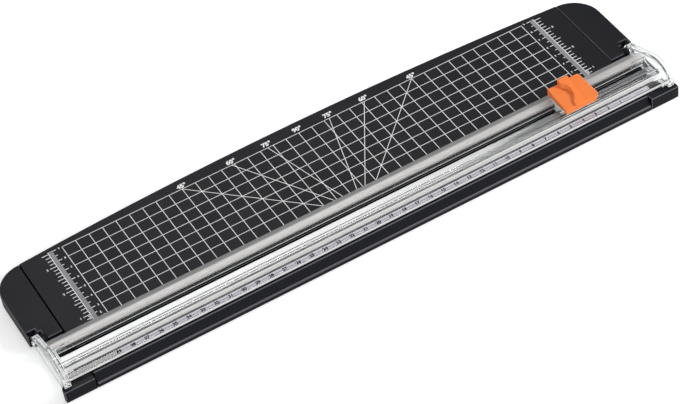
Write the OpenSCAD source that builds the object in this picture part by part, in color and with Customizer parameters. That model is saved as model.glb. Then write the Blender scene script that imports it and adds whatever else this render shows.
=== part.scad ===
// Rail trimmer for paper, A3 class.
// A printed bed on rubber feet carries a clear guide rail that swings up on two rear pivots.
// A carriage with a sprung thumb cap slides along the rail and draws a blade over a cutting strip.
// +X runs along the cut, +Y to the back, +Z up. The origin is under the middle of the bed.

/* [Bed] */
// Length of the bed with both end mouldings
bed_length = 465; // [420:5:520]
// Depth of the bed at its middle, front to back
bed_depth = 125.5; // [118:0.5:150]
// Height from the bottom of the skirt to the printed face
bed_height = 10; // [9.5:0.25:13]
// Wall of the bed's shell
bed_wall = 2.5; // [2:0.1:2.8]
// How far the back edge sweeps forward from its middle to the sides
back_sweep = 10; // [5:0.5:14]
// Radius of the two back corners
corner_radius = 22; // [12:1:28]
// Distance from the front edge back to the cutting line
cut_setback = 24.5; // [23.5:0.25:28]
// Flat land between the cutting line and the top of the front ramp
front_land = 19.9; // [19.2:0.1:21]
// Drop of the front ramp from the printed face to the lip
ramp_drop = 6.4; // [4:0.2:6.8]
// Width of the flat lip in front of the ramp
lip_width = 0.8; // [0.5:0.1:1.5]

/* [Bed underside] */
// Thickness of the ribs
rib_thickness = 1.6; // [1.2:0.1:2.4]
// Spacing of the ribs that run front to back
rib_pitch = 38; // [28:1:60]
// How far the ribs stop above the bottom of the skirt
rib_setback = 2; // [1:0.25:3]

/* [End mouldings] */
// Length of an end moulding along the cut
end_width = 22; // [20:0.5:26]
// How far the top of an end moulding lies below the printed face
end_step = 0.3; // [0.1:0.1:0.6]
// Gap of the seam between tray and end moulding
seam_gap = 0.2; // [0.1:0.05:0.4]
// Depth of the recess under the end of the rail
recess_drop = 3.5; // [2.5:0.25:4]
// Distance from the cutting line back to the edge of the wing
recess_back = 23.8; // [22.5:0.1:24.5]
// Width of the open bay that a rail cap hangs in
bay_width = 7.5; // [7:0.1:9]
// Distance from the cutting line forward to the front block
bay_front = 18.6; // [18.5:0.1:19]
// Depth of the pocket behind the pivot nose
pocket_depth = 4.6; // [3:0.2:6]

/* [Screws and feet] */
// Thickness of the tabs that hold the end mouldings
tab_thickness = 2.2; // [1.8:0.1:2.4]
// Width of a tab
tab_width = 12; // [10:0.5:16]
// Length of a tab under the tray
tab_length = 15; // [12:0.5:18]
// Diameter of the shank of an end screw
end_screw_diameter = 2.9; // [2.2:0.1:3.5]
// Diameter of a foot
foot_diameter = 11; // [9:0.5:12]
// How far a foot stands out below the skirt
foot_height = 1.5; // [1:0.25:3]
// Depth of the seat that a foot is glued into
foot_seat = 0.8; // [0.4:0.1:1.2]

/* [Cutting strip] */
// Width of the cutting strip
strip_width = 10; // [7:0.5:12]
// Thickness of the cutting strip
strip_thickness = 2; // [1.8:0.1:2.4]
// Width of the groove that the blade's point runs in
groove_width = 1.4; // [1.2:0.1:2]
// Depth of that groove
groove_depth = 1.5; // [1.4:0.1:1.6]

/* [Guide rail] */
// Height of the rail's platforms above the printed face
platform_height = 7; // [6.5:0.1:8]
// Distance from the cutting line to the rail's back edge
rail_back = 19; // [18:0.25:20]
// Distance from the cutting line to the rail's front edge
rail_front = 18.3; // [17.5:0.1:18.4]
// Distance from the cutting line to the back edge of the rear platform
shoulder_back = 11.7; // [11:0.1:12.5]
// Distance from the cutting line to the front edge of the front platform
shoulder_front = 11.7; // [11.2:0.1:12]
// Distance from the cutting line to the rear wall of the slot
slot_back = 4.5; // [4.3:0.1:5]
// Distance from the cutting line to the front wall of the slot
slot_front = 2.6; // [2.1:0.1:2.6]
// Wall of the rail
rail_wall = 1.6; // [1.3:0.1:1.8]
// Thickness of the solid plate in front of the slot
front_plate = 3.8; // [3:0.1:4]
// Height above the printed face at which the slot walls end
hang_height = 2.6; // [2.6:0.1:3.2]
// Height of the ruler flange
flange_height = 3; // [2.6:0.1:3.4]
// Thickness of the end webs that close the slot
end_web = 2.5; // [1.5:0.25:4]
// Gap between the rail's feet and the printed face
foot_gap = 0.6; // [0.5:0.1:0.8]

/* [Rail caps] */
// Distance from the cutting line back to the pivot
pivot_back = 26; // [25.5:0.1:26.5]
// Depth of the pivot below the printed face
pivot_drop = 2; // [1.9:0.1:2.4]
// Diameter of a pivot pin
pin_diameter = 2.5; // [2:0.1:2.8]
// Radius of the pivot nose
nose_radius = 4.5; // [4:0.1:4.6]
// Radius of the cap's arch
arch_radius = 18.7; // [17:0.1:20]
// Height of the top of the arch above the printed face
arch_height = 14; // [12.5:0.25:15]
// Distance from the cutting line forward to the top of the arch
arch_front = 7; // [5:0.25:8]
// Thickness of the cap's plate
cap_plate = 2.2; // [1.8:0.1:2.4]
// Width of the cap along the cut, rim included
cap_width = 4.6; // [4:0.1:5]
// Thickness of the cap's rim
rim_thickness = 1.8; // [1.4:0.1:2.2]
// How far the cap hangs below the printed face
cap_drop = 7; // [6:0.25:7.5]

/* [Ruler and grips] */
// Width of the ruler film
scale_width = 3.4; // [2.8:0.1:3.6]
// Thickness of the ruler film
scale_thickness = 0.4; // [0.3:0.05:0.5]
// Width of a grip strip
grip_width = 1.6; // [1.2:0.1:1.8]
// Thickness of a grip strip
grip_thickness = 0.8; // [0.7:0.05:0.9]
// How far a grip strip stands out below the rail
grip_proud = 0.3; // [0.2:0.05:0.3]

/* [Carriage] */
// Length of the carriage along the cut
carriage_length = 27; // [26:0.5:30]
// Place of the carriage along the cut, from the middle of the bed
carriage_place = 165; // [0:5:200]
// Thickness of the carriage's deck
deck_thickness = 1.3; // [1.1:0.1:1.4]
// Thickness of the carriage's legs
leg_thickness = 1.1; // [0.9:0.1:1.1]
// How far the hooks reach under the slot walls
hook_reach = 0.9; // [0.6:0.1:1.2]
// Height of the hooks
hook_height = 1.4; // [1.1:0.1:1.6]

/* [Press cap] */
// Length of the press cap along the cut
press_length = 28; // [28:0.2:32]
// Depth of the press cap, front to back
press_depth = 23; // [22:0.5:26]
// Height of the crest above the printed face
crest_height = 19.5; // [19:0.5:24]
// Height of the press cap's front rim above the printed face
press_rim = 8.8; // [8.6:0.1:9.2]
// Wall of the press cap
press_wall = 1.5; // [1.2:0.1:1.7]
// Travel of the press cap
press_travel = 1.5; // [1.2:0.1:1.5]
// Radius of the finger scoop at the height of the thumb rest
scoop_radius = 9; // [7.5:0.25:9.5]

/* [Blade and springs] */
// Thickness of the blade
blade_thickness = 0.5; // [0.3:0.05:0.6]
// Length of the blade along the cut
blade_length = 10.5; // [9:0.5:12]
// How far the blade's point rests above the printed face
point_rest = 0.5; // [0.4:0.05:0.7]
// Diameter of the pin that holds the blade
blade_pin_diameter = 2.4; // [1.8:0.1:3]
// Outer diameter of a press spring
spring_diameter = 4; // [3.4:0.1:4.2]
// Diameter of the spring's wire
spring_wire = 0.45; // [0.35:0.05:0.5]
// Number of curls in a press spring
spring_curls = 3; // [2:1:3]

/* [Hidden] */

// Fineness of round parts, and of the long sweep of the back edge
$fn = 64;
sweep_fineness = 1440;

// Colours of the pieces
black_plastic = "#2c2c2e";
rubber_black = "#1c1c1e";
clear_plastic = [0.86, 0.88, 0.9, 0.6];
milky_plastic = [0.95, 0.95, 0.93, 0.85];
orange_plastic = "#ff8240";
steel = "#c4c7cc";
film_grey = "#b9bcc6";

// Clearances: overrun of a cut, gap between moving pieces, running fit and press fit on a radius
overrun = 1;
run_gap = 0.3;
pin_fit = 0.05;
seat_fit = 0.02;
strip_fit = 0.1;

// Places of the cutting line and the printed face in the part's own frame
cut_y = cut_setback - bed_depth / 2;
print_z = foot_height + bed_height;
bed_back = bed_depth - cut_setback;
side_x = bed_length / 2;
seam_x = side_x - end_width;

// Long arc of the back edge, and the corner arcs that meet it and the sides
sweep_radius = (side_x * side_x + back_sweep * back_sweep) / (2 * back_sweep);
sweep_y = bed_back - sweep_radius;
corner_x = side_x - corner_radius;
corner_y = sweep_y + sqrt(pow(sweep_radius - corner_radius, 2) - pow(corner_x, 2));
tangent_share = corner_x / (sweep_radius - corner_radius);

// Tray: channel of the cutting strip, rows of ribs, bosses and feet
strip_gap_y = strip_width / 2 + strip_fit;
channel_floor = strip_thickness + bed_wall * 0.6;
rib_rows_share = [0.28, 0.52, 0.76];
rib_depth = bed_height - rib_setback;
tab_rows_share = [0.33, 0.8];
tab_clear = 0.3;
end_wall_depth = bed_wall + 2.6;
tab_top = end_wall_depth + tab_clear;
tab_x = seam_x - tab_length * 0.58;
rib_end = seam_x - tab_length - rib_thickness - tab_clear;
rib_count = floor(rib_end / rib_pitch);
boss_wall = 2;
end_boss_radius = end_screw_diameter / 2 + boss_wall;
foot_boss_radius = foot_diameter / 2 + bed_wall * 0.4;
foot_columns_share = [-0.83, 0, 0.83];
front_foot_y = foot_boss_radius + bed_wall / 5 - front_land;
back_foot_y = bed_back - back_sweep - bed_wall - foot_boss_radius;

// End mouldings: bay, recess, pockets and pivot boss
bay_x = side_x - bay_width;
nose_gap = 0.5;
bay_back = pivot_back + nose_radius + nose_gap;
pocket_back = bay_back + pocket_depth;
pocket_floor = bed_height * 0.75;
inner_pocket_width = 2.4;
inner_pocket_back = bay_back + pocket_depth * 0.25;
pivot_boss_radius = pin_diameter / 2 + boss_wall;
pivot_boss_proud = 0.8;
pin_depth = 12;
block_round = 3;
wing_rib_share = 0.5;

// Screws: heads and the crossed recess in them
head_share = 0.95;
head_height_share = 0.62;
cross_width_share = 0.22;
cross_depth_share = 0.5;
hole_ease = 0.25;
end_screw_length = 7.2;
cap_screw_diameter = 2.2;
cap_screw_length = 10;

// Rail: ends, slot and foot; eased platform edges as run and drop; fine grooves as place and half width
rail_end = side_x - 6.5;
slot_end = rail_end - end_web;
foot_edge = 1.2;
foot_width = 2.6;
gutter_width = 1.9;
gutter_height = 1.9;
rear_ease = [1.1, 0.4];
front_ease = [0.9, 1.2];
fine_grooves = [[6.4, 0.4], [-7.2, 0.4], [-9.5, 0.25]];
fine_groove_dip = 0.4;
boss_share = 0.62;
cap_screw_z = (platform_height + foot_gap) / 2 - 0.35;
rear_screw_y = (slot_back + shoulder_back) / 2 + 0.3;
front_screw_y = -(slot_front + shoulder_front) / 2;
cap_boss_radius = cap_screw_diameter / 2 + 1.2;
ruler_start = -rail_end * 0.84;
ruler_end = rail_end * 0.945;
ruler_y = (shoulder_front + gutter_width + rail_front) / 2;
grip_end = rail_end - end_web;
front_grip_y = -rail_front + foot_width * 0.75;
rear_grip_y = rail_back - foot_width * 0.5;

// Cap: arch circle, nose circle and the straight flanks that touch both
cap_x = rail_end;
pocket_wall = side_x - cap_x - cap_width - run_gap;
arch_y = -arch_front;
arch_z = arch_height - arch_radius;
nose_y = pivot_back;
nose_z = -pivot_drop;
flank_length = norm([nose_y - arch_y, nose_z - arch_z]);
flank_angle = atan2(nose_z - arch_z, nose_y - arch_y);
flank_spread = acos((arch_radius - nose_radius) / flank_length);
cap_front_y = rail_front + 3.6;
cap_heel_y = bay_front - 1.3;
cap_rest_z = run_gap - end_step;
tongue_length = 6;
tongue_gap = 0.2;
pin_boss_radius = pin_diameter / 2 + 1.5;
pin_head_radius = pin_diameter * 0.8;
pin_head_height = 0.8;

// Carriage: deck, legs, pocket for the blade holder and stubs in the springs
slot_middle = (slot_back - slot_front) / 2;
deck_low = platform_height + run_gap;
deck_top = deck_low + deck_thickness;
deck_front = 6.2;
deck_rear = 9;
leg_front = -slot_front + run_gap;
leg_rear = slot_back - run_gap;
hook_top = hang_height - run_gap;
hook_low = hook_top - hook_height;
holder_front = blade_thickness / 2;
pocket_front = leg_front + leg_thickness;
pocket_rear = leg_rear - leg_thickness;
holder_rear = pocket_rear - run_gap;
holder_half = blade_length / 2 + 1.1;
ear_reach = 1.1;
ear_height = 1.5;
well_half = holder_half + ear_reach + run_gap;
throat_half = holder_half + run_gap;
guide_wall = 1.2;
guide_top = deck_top + press_travel - 0.1;
spring_offset = throat_half + spring_diameter / 2 + run_gap;
stub_radius = spring_diameter / 2 - spring_wire - 0.35;
stub_height = 1;

// Press cap: outline in plan, sloping tops, crest, side flare and scoop
press_half = press_length / 2;
press_front = 11;
press_rear = press_depth - press_front;
rest_back_height = 15.2;
rest_front_height = 12.4;
right_back_height = 16.2;
right_front_height = 12.8;
crest_start = -5.9;
crest_end = 2.1;
crest_front_height = 13.4;
right_shoulder = 10.6;
flare_height = 11;
flare_run = [right_shoulder - press_half, right_back_height - flare_height];
flare_low = [press_half, flare_height] - flare_run;
flare_top = [right_shoulder, right_back_height] + flare_run;
cap_corner = 5.6;
scoop_x = -press_half + 2.2;
scoop_y = 0;
scoop_lean = 0.36;
side_rim = deck_top + press_travel + run_gap;
roof_seat = deck_top + 3.6;
seat_post_radius = spring_diameter / 2 + 0.5;

// Blade: point and pin heights, spring fineness and its ground ends
blade_top = platform_height + 1.6;
blade_cheek = platform_height * 0.6;
blade_pin_z = platform_height * 0.8;
blade_pin_head = 0.25;
spring_sides = 6;
spring_rings = 8;
spring_length = roof_seat - deck_top;

// Box between two corners
module block(low, high) {
    translate(low) cube(high - low);
}

// Flat profile in Y and Z, drawn out along X from x_low to x_high
module drawn_along_x(x_low, x_high) {
    translate([x_low, 0, 0]) rotate([90, 0, 90]) linear_extrude(height = x_high - x_low) children();
}

// Moves from the cutting line on the printed face to the part's own frame
module on_bed() {
    translate([0, cut_y, print_z]) children();
}

// One piece and its mirror image across the middle of the bed
module both_ends() {
    children();
    mirror([1, 0, 0]) children();
}

// Plan outline of the whole bed about the cutting line, drawn in by inset
module bed_outline(inset) {
    arc_radius = sweep_radius - inset;
    tangent_x = tangent_share * arc_radius;
    front_y = -cut_setback + inset;
    union() {
        intersection() {
            translate([0, sweep_y]) circle(r = arc_radius, $fn = sweep_fineness);
            translate([-tangent_x, front_y]) square([2 * tangent_x, bed_back - front_y]);
        }
        for (side = [-1, 1]) translate([side * corner_x, corner_y]) circle(r = corner_radius - inset);
        translate([inset - side_x, front_y]) square([2 * (side_x - inset), corner_y - front_y]);
    }
}

// Self-tapping screw along +Z, its head's seat at the origin and its head below
module pan_screw(diameter, length) {
    head_radius = diameter * head_share;
    head_height = diameter * head_height_share;
    cross = diameter * cross_width_share;
    difference() {
        union() {
            cylinder(d = diameter, h = length - diameter / 2);
            translate([0, 0, length - diameter / 2]) cylinder(d1 = diameter, d2 = cross, h = diameter / 2);
            translate([0, 0, -head_height]) cylinder(r1 = head_radius * 0.8, r2 = head_radius, h = head_height);
        }
        for (turn = [0, 90]) rotate([0, 0, turn])
            block([-head_radius * 0.6, -cross / 2, -head_height - overrun],
                [head_radius * 0.6, cross / 2, -head_height * cross_depth_share]);
    }
}

// Wound compression spring along +Z, its least gap to itself measured on the wire's centre points
function curl_point(turn, radius, pitch) = [radius * cos(360 * turn), radius * sin(360 * turn), pitch * turn];
module wound_spring(length) {
    radius = (spring_diameter - spring_wire) / 2;
    pitch = (length - spring_wire) / spring_curls;
    steps = spring_curls * spring_rings;
    points = [for (i = [0:steps]) curl_point(i / spring_rings, radius, pitch) + [0, 0, spring_wire / 2]];
    gap = min([for (i = [0:steps]) for (j = [i + spring_rings / 2:1:steps]) norm(points[i] - points[j])]);
    echo(least_gap_in_spring = gap - spring_wire);
    ring_points = [for (i = [0:steps]) for (k = [0:spring_sides - 1])
        let (around = 360 * i / spring_rings, tilt = 360 * k / spring_sides, reach = radius + spring_wire / 2 * cos(tilt))
        [reach * cos(around), reach * sin(around), points[i][2] + spring_wire / 2 * sin(tilt)]];
    walls = [for (i = [0:steps - 1]) for (k = [0:spring_sides - 1])
        let (a = i * spring_sides + k, b = i * spring_sides + (k + 1) % spring_sides)
        each [[a, a + spring_sides, b], [b, a + spring_sides, b + spring_sides]]];
    first = [for (k = [1:spring_sides - 2]) [0, k, k + 1]];
    last_start = steps * spring_sides;
    last = [for (k = [1:spring_sides - 2]) [last_start, last_start + k + 1, last_start + k]];
    polyhedron(points = ring_points, faces = concat(walls, first, last));
}

// Section of the tray's front: ramp, flat lip and lip face
module ramp_section() {
    foot_y = -cut_setback + lip_width;
    polygon([
        [-front_land, 0],
        [foot_y, -ramp_drop],
        [-cut_setback, -ramp_drop],
        [-cut_setback, -bed_height],
        [-cut_setback + bed_wall, -bed_height],
        [-cut_setback + bed_wall, -ramp_drop - bed_wall],
        [foot_y + bed_wall, -ramp_drop],
        [-front_land + bed_wall, -bed_wall],
        [-front_land + bed_wall, 0]
    ]);
}

// Tray between the seams: printed top, skirt, front ramp, ribs, strip channel, screw bosses and foot bosses
module bed_tray() {
    tray_end = seam_x - seam_gap / 2;
    color(black_plastic) on_bed() difference() {
        union() {
            intersection() {
                union() {
                    translate([0, 0, -bed_wall]) linear_extrude(height = bed_wall) bed_outline(0);
                    translate([0, 0, -bed_height]) linear_extrude(height = bed_height) difference() {
                        bed_outline(0);
                        bed_outline(bed_wall);
                    }
                    translate([0, 0, -rib_depth]) linear_extrude(height = rib_depth) intersection() {
                        bed_outline(bed_wall / 2);
                        tray_ribs();
                    }
                }
                block([-tray_end, -front_land + bed_wall / 2, -bed_height], [tray_end, bed_back, 0]);
            }
            drawn_along_x(-tray_end, tray_end) ramp_section();
            both_ends() intersection() {
                translate([0, 0, -end_wall_depth]) linear_extrude(height = end_wall_depth) bed_outline(bed_wall / 2);
                block([tray_end - bed_wall, -front_land, -end_wall_depth], [tray_end, bed_back, 0]);
            }
            block([-tray_end, -strip_gap_y - bed_wall, -channel_floor], [tray_end, strip_gap_y + bed_wall, 0]);
            tray_bosses();
        }
        block([-tray_end - overrun, -strip_gap_y, -strip_thickness], [tray_end + overrun, strip_gap_y, overrun]);
        both_ends() for (share = tab_rows_share)
            translate([tab_x, share * bed_back, -tab_top - overrun])
                cylinder(d = end_screw_diameter + 2 * seat_fit, h = tab_top - bed_wall / 2 + overrun);
        for (spot = foot_spots()) translate([spot[0], spot[1], -bed_height - overrun])
            cylinder(d = foot_diameter + 2 * strip_fit, h = foot_seat + overrun + rib_setback / 2);
    }
}

// Centres of the feet about the cutting line
function foot_spots() = [for (share = foot_columns_share) for (y = [front_foot_y, back_foot_y])
    [share * seam_x, y]];

// Plan of the ribs under the tray
module tray_ribs() {
    for (i = [-rib_count:rib_count])
        translate([i * rib_pitch - rib_thickness / 2, -cut_setback]) square([rib_thickness, bed_depth]);
    for (share = rib_rows_share)
        translate([-rib_end, share * bed_back - rib_thickness / 2]) square([2 * rib_end, rib_thickness]);
}

// Bosses under the tray: four for the end screws, one for each foot
module tray_bosses() {
    both_ends() for (share = tab_rows_share)
        translate([tab_x, share * bed_back, -tab_top]) cylinder(r = end_boss_radius, h = tab_top - bed_wall / 2);
    for (spot = foot_spots()) translate([spot[0], spot[1], -bed_height + rib_setback / 2])
        cylinder(r = foot_boss_radius, h = bed_height - rib_setback / 2 - bed_wall / 2);
}

// Plan of an end moulding about the cutting line, drawn in by inset
module end_plan(inset) {
    intersection() {
        bed_outline(inset);
        translate([seam_x + seam_gap / 2 + inset, -cut_setback]) square([end_width, bed_depth]);
    }
}

// Right end moulding: wing, recess, cap bay, pockets, pivot boss, front block and tabs
module end_moulding() {
    wing_front = pocket_back + bed_wall;
    wing_back = bed_back - back_sweep - bed_wall;
    wing_middle = wing_front + (wing_back - wing_front) * wing_rib_share;
    color(black_plastic) on_bed() difference() {
        union() {
            difference() {
                translate([0, 0, -bed_height]) linear_extrude(height = bed_height - end_step) end_plan(0);
                block([seam_x - overrun, -bay_front, -recess_drop], [side_x + overrun, recess_back, overrun]);
                block([bay_x, -bay_front, -bed_height - overrun], [side_x + overrun, bay_back, overrun]);
                block([bay_x, bay_back - overrun, -pocket_floor],
                    [side_x - pocket_wall, pocket_back, overrun]);
                block([bay_x - inner_pocket_width, pivot_back - nose_gap, -pocket_floor],
                    [bay_x + overrun, inner_pocket_back, overrun]);
                block_corner();
            }
            drawn_along_x(bay_x - inner_pocket_width - overrun, bay_x + pivot_boss_proud)
                translate([pivot_back, -pivot_drop]) circle(r = pivot_boss_radius);
            for (share = tab_rows_share) translate([0, share * bed_back, 0]) end_tab();
        }
        difference() {
            translate([0, 0, -bed_height - overrun])
                linear_extrude(height = bed_height + overrun - end_step - bed_wall) intersection() {
                    end_plan(bed_wall);
                    translate([seam_x, wing_front]) square([end_width, bed_depth]);
                }
            block([seam_x, wing_middle - rib_thickness / 2, -rib_depth],
                [side_x, wing_middle + rib_thickness / 2, 0]);
        }
        block([seam_x + seam_gap / 2 + bed_wall, -bay_front + bed_wall, -bed_height - overrun],
            [bay_x - bed_wall, recess_back - bed_wall, -recess_drop - bed_wall]);
        drawn_along_x(bay_x - pin_depth, side_x)
            translate([pivot_back, -pivot_drop]) circle(r = pin_diameter / 2 + seat_fit);
    }
}

// Rounds the outer back corner of the front block, where the cap swings past
module block_corner() {
    translate([side_x - block_round, -bay_front - block_round, -bed_height - overrun])
        linear_extrude(height = bed_height + 2 * overrun) difference() {
            square(block_round + overrun);
            circle(r = block_round);
        }
}

// Tab that reaches under the tray, with a round end and its screw hole
module end_tab() {
    difference() {
        translate([0, 0, -tab_top - tab_thickness]) linear_extrude(height = tab_thickness) union() {
            translate([tab_x, -tab_width / 2]) square([seam_x + bed_wall - tab_x, tab_width]);
            translate([tab_x, 0]) circle(d = tab_width);
        }
        translate([tab_x, 0, -tab_top - tab_thickness - overrun])
            cylinder(d = end_screw_diameter + 2 * hole_ease, h = tab_thickness + 2 * overrun);
    }
}

module left_end_moulding() {
    mirror([1, 0, 0]) end_moulding();
}

module right_end_moulding() {
    end_moulding();
}

// Four screws, driven from below through the tabs
module end_screws() {
    color(steel) on_bed() both_ends() for (share = tab_rows_share)
        translate([tab_x, share * bed_back, -tab_top - tab_thickness])
            pan_screw(end_screw_diameter, end_screw_length - bed_wall / 2);
}

// Strip with the blade's groove, lying flush in its channel
module cutting_strip() {
    strip_end = seam_x - seam_gap / 2;
    color(rubber_black) on_bed() drawn_along_x(-strip_end, strip_end) difference() {
        translate([-strip_width / 2, -strip_thickness]) square([strip_width, strip_thickness]);
        translate([-groove_width / 2, -groove_depth]) square([groove_width, groove_depth + overrun]);
    }
}

// Feet with a rounded tread edge, seated in their bosses
module rubber_feet() {
    foot_round = foot_height * 0.5;
    top = foot_height + rib_setback / 2 + foot_seat;
    color(rubber_black) translate([0, cut_y, 0]) for (spot = foot_spots()) translate([spot[0], spot[1], 0]) {
        translate([0, 0, foot_round]) cylinder(d = foot_diameter, h = top - foot_round);
        cylinder(d1 = foot_diameter - 2 * foot_round, d2 = foot_diameter, h = foot_round);
    }
}

// Pin from the end moulding out through the cap's nose, its head outside
module pivot_pin() {
    head_x = cap_x + cap_width + run_gap;
    color(steel) on_bed() translate([0, pivot_back, -pivot_drop]) rotate([0, 90, 0]) {
        translate([0, 0, bay_x - pin_depth]) cylinder(d = pin_diameter, h = head_x - bay_x + pin_depth);
        translate([0, 0, head_x]) cylinder(r1 = pin_head_radius, r2 = pin_head_radius * 0.8, h = pin_head_height);
    }
}

module left_pivot_pin() {
    mirror([1, 0, 0]) pivot_pin();
}

module right_pivot_pin() {
    pivot_pin();
}

// Rear half of the rail's section: foot, slope, platform and hanging slot wall
module rear_section() {
    slot_outer = slot_back + rail_wall;
    polygon([
        [rail_back, foot_gap],
        [rail_back, foot_gap + foot_edge],
        [shoulder_back, platform_height - rear_ease[1]],
        [shoulder_back - rear_ease[0], platform_height],
        [slot_back, platform_height],
        [slot_back, hang_height],
        [slot_outer, hang_height],
        [slot_outer, platform_height - rail_wall],
        [shoulder_back - rail_wall * 0.3, platform_height - rail_wall],
        [rail_back - foot_width, foot_gap]
    ]);
}

// Front half of the rail's section: slot wall, solid plate, gutter and ruler flange
module front_section() {
    gutter_y = shoulder_front + gutter_width;
    slot_outer = slot_front + rail_wall;
    polygon([
        [-slot_front, hang_height],
        [-slot_front, platform_height],
        [-shoulder_front + front_ease[0], platform_height],
        [-shoulder_front, platform_height - front_ease[1]],
        [-shoulder_front, gutter_height],
        [-gutter_y, gutter_height],
        [-gutter_y, flange_height],
        [-rail_front, flange_height],
        [-rail_front, foot_gap],
        [-shoulder_front + rail_wall, foot_gap],
        [-shoulder_front + rail_wall, platform_height - front_plate],
        [-slot_outer, platform_height - front_plate],
        [-slot_outer, hang_height]
    ]);
}

// Section of the webs that close the rail's ends
module web_section() {
    polygon([
        [-shoulder_front, foot_gap],
        [-shoulder_front, platform_height - front_ease[1]],
        [-shoulder_front + front_ease[0], platform_height],
        [shoulder_back - rear_ease[0], platform_height],
        [shoulder_back, platform_height - rear_ease[1]],
        [shoulder_back, foot_gap]
    ]);
}

// Clear rail: both halves of the section, end webs, screw bosses, and grooves for film and grips
module guide_rail() {
    color(clear_plastic) on_bed() difference() {
        union() {
            drawn_along_x(-rail_end, rail_end) {
                rear_section();
                front_section();
            }
            both_ends() drawn_along_x(slot_end, rail_end) web_section();
            both_ends() drawn_along_x(rail_end - cap_screw_length, rail_end)
                for (y = [rear_screw_y, front_screw_y]) translate([y, cap_screw_z]) circle(r = cap_boss_radius);
        }
        both_ends() drawn_along_x(rail_end - cap_screw_length + cap_plate, rail_end + overrun)
            for (y = [rear_screw_y, front_screw_y])
                translate([y, cap_screw_z]) circle(d = cap_screw_diameter + 2 * seat_fit);
        for (groove = fine_grooves) drawn_along_x(-rail_end - overrun, rail_end + overrun)
            translate([groove[0], platform_height]) polygon([
                [-groove[1], overrun],
                [-groove[1], 0],
                [0, -fine_groove_dip],
                [groove[1], 0],
                [groove[1], overrun]
            ]);
        block([ruler_start, -ruler_y - scale_width / 2 - strip_fit / 2, flange_height - scale_thickness],
            [ruler_end, -ruler_y + scale_width / 2 + strip_fit / 2, flange_height + overrun]);
        for (y = [front_grip_y, rear_grip_y])
            block([-grip_end, y - grip_width / 2 - strip_fit / 2, foot_gap - overrun],
                [grip_end, y + grip_width / 2 + strip_fit / 2, foot_gap + grip_thickness - grip_proud]);
    }
}

// Side view of a rail cap about the cutting line, drawn in by inset
module cap_outline(inset) {
    arch = arch_radius - inset;
    nose = nose_radius - inset;
    upper = [cos(flank_angle + flank_spread), sin(flank_angle + flank_spread)];
    lower = [cos(flank_angle - flank_spread), sin(flank_angle - flank_spread)];
    arch_middle = [arch_y, arch_z];
    nose_middle = [nose_y, nose_z];
    intersection() {
        union() {
            translate(arch_middle) circle(r = arch, $fn = 128);
            translate(nose_middle) circle(r = nose);
            polygon([
                arch_middle + arch * upper,
                nose_middle + nose * upper,
                nose_middle + nose * lower,
                arch_middle + arch * lower
            ]);
        }
        polygon([
            [-cap_front_y + inset, cap_rest_z + inset],
            [-cap_heel_y + inset, cap_rest_z + inset],
            [-cap_heel_y + inset, -cap_drop + inset],
            [nose_y + nose_radius + overrun, -cap_drop + inset],
            [nose_y + nose_radius + overrun, arch_height],
            [-cap_front_y + inset, arch_height]
        ]);
    }
}

// Right cap: plate against the rail's end, rim outwards, pin boss, screw holes and a tongue in the gutter
module rail_cap() {
    tongue_y = shoulder_front + gutter_width - tongue_gap;
    color(clear_plastic) on_bed() difference() {
        union() {
            difference() {
                drawn_along_x(cap_x, cap_x + cap_width) cap_outline(0);
                drawn_along_x(cap_x + cap_plate, cap_x + cap_width + overrun) cap_outline(rim_thickness);
            }
            drawn_along_x(cap_x, cap_x + cap_width) translate([nose_y, nose_z]) circle(r = pin_boss_radius);
            block([cap_x - tongue_length, -tongue_y, gutter_height + tongue_gap],
                [cap_x + cap_plate / 2, -shoulder_front - tongue_gap, flange_height]);
        }
        drawn_along_x(cap_x - overrun, cap_x + cap_width + overrun)
            translate([nose_y, nose_z]) circle(r = pin_diameter / 2 + pin_fit);
        drawn_along_x(cap_x - overrun, cap_x + cap_plate + overrun)
            for (y = [rear_screw_y, front_screw_y])
                translate([y, cap_screw_z]) circle(d = cap_screw_diameter + 2 * hole_ease);
    }
}

module left_rail_cap() {
    mirror([1, 0, 0]) rail_cap();
}

module right_rail_cap() {
    rail_cap();
}

// Two screws in each cap, driven along the rail
module cap_screws() {
    color(steel) on_bed() both_ends() for (y = [rear_screw_y, front_screw_y])
        translate([cap_x + cap_plate, y, cap_screw_z]) rotate([0, -90, 0])
            pan_screw(cap_screw_diameter, cap_screw_length);
}

// Ruler film, flush with the flange
module scale_strip() {
    color(film_grey) on_bed()
        block([ruler_start, -ruler_y - scale_width / 2, flange_height - scale_thickness],
            [ruler_end, -ruler_y + scale_width / 2, flange_height]);
}

// Soft strip in a groove under the rail, standing a little proud
module grip_strip(y) {
    low = foot_gap - grip_proud;
    bead = grip_proud;
    color(rubber_black) on_bed() drawn_along_x(-grip_end + strip_fit, grip_end - strip_fit) polygon([
        [y - grip_width / 2 + bead, low],
        [y + grip_width / 2 - bead, low],
        [y + grip_width / 2, low + bead],
        [y + grip_width / 2, low + grip_thickness],
        [y - grip_width / 2, low + grip_thickness],
        [y - grip_width / 2, low + bead]
    ]);
}

module front_grip_strip() {
    grip_strip(front_grip_y);
}

module rear_grip_strip() {
    grip_strip(rear_grip_y);
}

// Moves to the carriage's place on the rail
module on_carriage() {
    on_bed() translate([carriage_place, 0, 0]) children();
}

// Section of the carriage's legs with their hooks
module leg_section() {
    polygon([
        [leg_front, deck_low],
        [leg_front, hook_top],
        [leg_front - hook_reach - run_gap, hook_top],
        [leg_front - hook_reach, hook_low],
        [pocket_front, hook_low],
        [pocket_front, deck_low]
    ]);
    polygon([
        [leg_rear, deck_low],
        [leg_rear, hook_top],
        [leg_rear + hook_reach + run_gap, hook_top],
        [leg_rear + hook_reach, hook_low],
        [pocket_rear, hook_low],
        [pocket_rear, deck_low]
    ]);
}

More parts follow.
